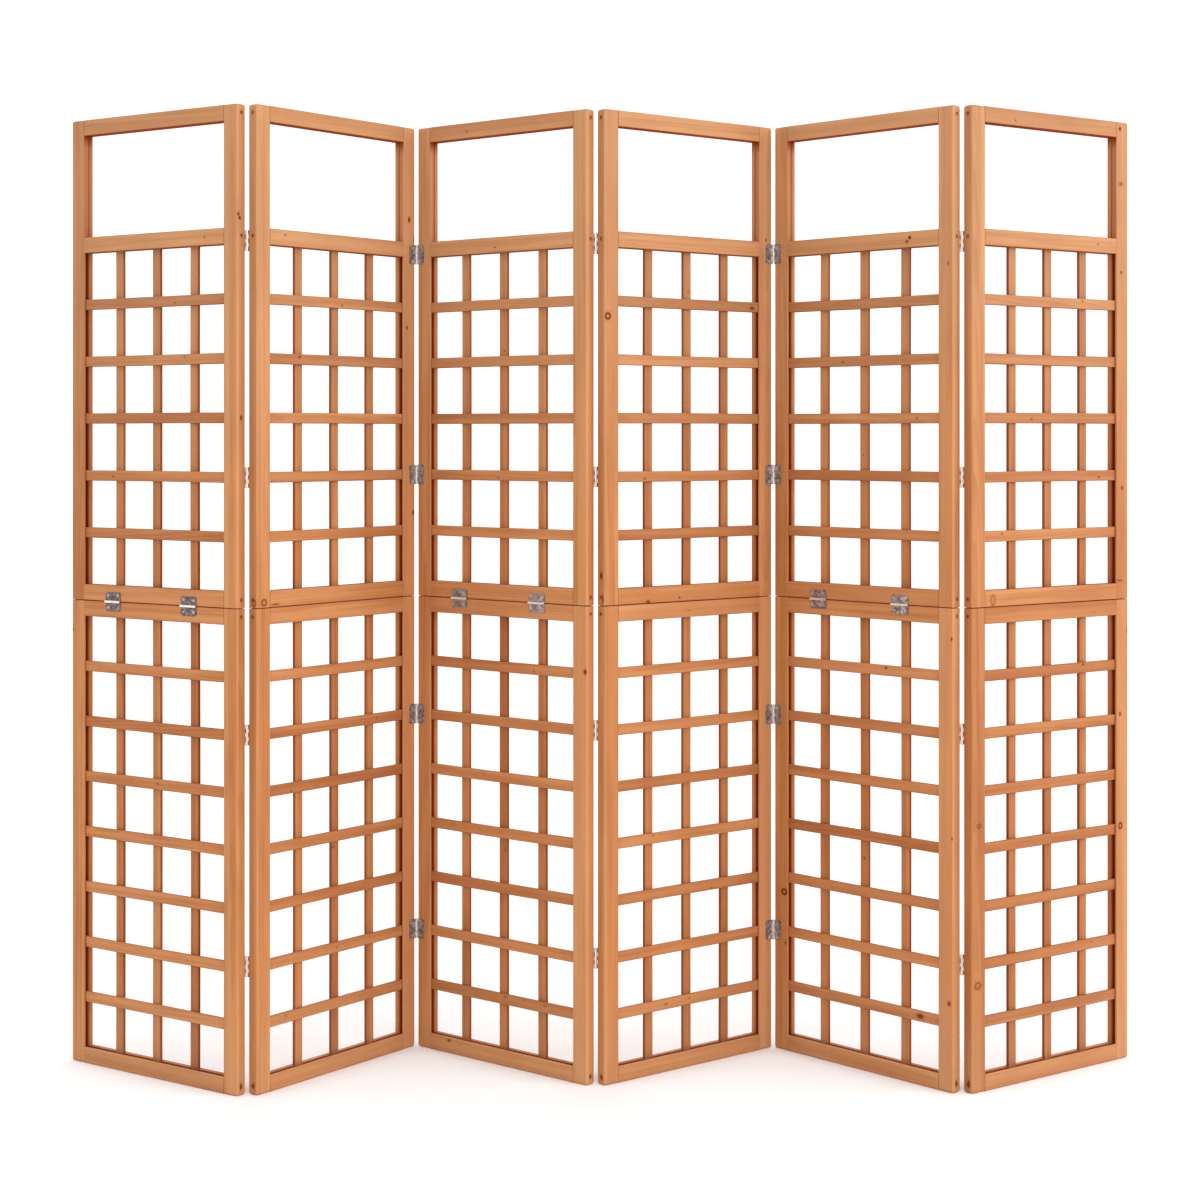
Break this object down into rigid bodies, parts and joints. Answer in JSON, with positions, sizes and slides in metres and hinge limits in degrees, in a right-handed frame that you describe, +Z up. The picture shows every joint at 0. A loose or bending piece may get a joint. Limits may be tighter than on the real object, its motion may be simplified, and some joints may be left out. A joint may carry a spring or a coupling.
{
  "type": "folding trellis screen",
  "caption": "Free-standing folding screen of hinged softwood trellis panels, each an open lattice frame in two halves with a window at the top, standing in a zigzag.",
  "frame": {"origin": "on the floor, at the middle of the box around the screen as it stands in its zigzag", "axes": "+X along the screen from panel 1 to panel 6, +Y from the viewer's side to the back, +Z up"},
  "size_m": [2.0298, 0.3456, 1.8],
  "materials": {
    "stained_softwood": "orange-brown stained softwood with open grain and small knots, satin",
    "zinc_plate": "bright zinc-plated pressed steel",
    "steel_pin": "bright steel",
    "steel_screw": "zinc-plated steel"
  },
  "bodies": {
    "panel_1": {"panel_1_upper_stiles": "stained_softwood", "panel_1_lower_stiles": "stained_softwood", "panel_1_upper_rails": "stained_softwood", "panel_1_lower_rails": "stained_softwood", "panel_1_upper_cross_slats": "stained_softwood", "panel_1_lower_cross_slats": "stained_softwood", "panel_1_upright_slats": "stained_softwood", "panel_1_hinge_leaves": "zinc_plate", "panel_1_hinge_pins": "steel_pin", "panel_1_screws": "steel_screw"},
    "panel_2": {"panel_2_upper_stiles": "stained_softwood", "panel_2_lower_stiles": "stained_softwood", "panel_2_upper_rails": "stained_softwood", "panel_2_lower_rails": "stained_softwood", "panel_2_upper_cross_slats": "stained_softwood", "panel_2_lower_cross_slats": "stained_softwood", "panel_2_upright_slats": "stained_softwood", "panel_2_hinge_leaves": "zinc_plate", "panel_2_hinge_pins": "steel_pin", "panel_2_screws": "steel_screw"},
    "panel_3": {"panel_3_upper_stiles": "stained_softwood", "panel_3_lower_stiles": "stained_softwood", "panel_3_upper_rails": "stained_softwood", "panel_3_lower_rails": "stained_softwood", "panel_3_upper_cross_slats": "stained_softwood", "panel_3_lower_cross_slats": "stained_softwood", "panel_3_upright_slats": "stained_softwood", "panel_3_hinge_leaves": "zinc_plate", "panel_3_hinge_pins": "steel_pin", "panel_3_screws": "steel_screw"},
    "panel_4": {"panel_4_upper_stiles": "stained_softwood", "panel_4_lower_stiles": "stained_softwood", "panel_4_upper_rails": "stained_softwood", "panel_4_lower_rails": "stained_softwood", "panel_4_upper_cross_slats": "stained_softwood", "panel_4_lower_cross_slats": "stained_softwood", "panel_4_upright_slats": "stained_softwood", "panel_4_hinge_leaves": "zinc_plate", "panel_4_hinge_pins": "steel_pin", "panel_4_screws": "steel_screw"},
    "panel_5": {"panel_5_upper_stiles": "stained_softwood", "panel_5_lower_stiles": "stained_softwood", "panel_5_upper_rails": "stained_softwood", "panel_5_lower_rails": "stained_softwood", "panel_5_upper_cross_slats": "stained_softwood", "panel_5_lower_cross_slats": "stained_softwood", "panel_5_upright_slats": "stained_softwood", "panel_5_hinge_leaves": "zinc_plate", "panel_5_hinge_pins": "steel_pin", "panel_5_screws": "steel_screw"},
    "panel_6": {"panel_6_upper_stiles": "stained_softwood", "panel_6_lower_stiles": "stained_softwood", "panel_6_upper_rails": "stained_softwood", "panel_6_lower_rails": "stained_softwood", "panel_6_upper_cross_slats": "stained_softwood", "panel_6_lower_cross_slats": "stained_softwood", "panel_6_upright_slats": "stained_softwood", "panel_6_hinge_leaves": "zinc_plate", "panel_6_hinge_pins": "steel_pin", "panel_6_screws": "steel_screw"}
  },
  "joints": [
    {"name": "fold_1_2", "type": "hinge", "parent": "panel_2", "child": "panel_1", "pos_m": [-0.65089, -0.1529, 0.8835], "axis": [0, 0, 1], "range_deg": [-95.5, 87]},
    {"name": "fold_2_3", "type": "hinge", "parent": "panel_3", "child": "panel_2", "pos_m": [-0.36032, 0.15441, 0.8835], "axis": [0, 0, -1], "range_deg": [-90.2, 92.3]},
    {"name": "fold_3_4", "type": "hinge", "parent": "panel_3", "child": "panel_4", "pos_m": [-0.01432, -0.0888, 0.8835], "axis": [0, 0, -1], "range_deg": [-103.4, 79.1]},
    {"name": "fold_4_5", "type": "hinge", "parent": "panel_4", "child": "panel_5", "pos_m": [0.33874, 0.14404, 0.8835], "axis": [0, 0, 1], "range_deg": [-96.6, 85.9]},
    {"name": "fold_5_6", "type": "hinge", "parent": "panel_5", "child": "panel_6", "pos_m": [0.65351, -0.13843, 0.8835], "axis": [0, 0, -1], "range_deg": [-99.5, 83]}
  ]
}
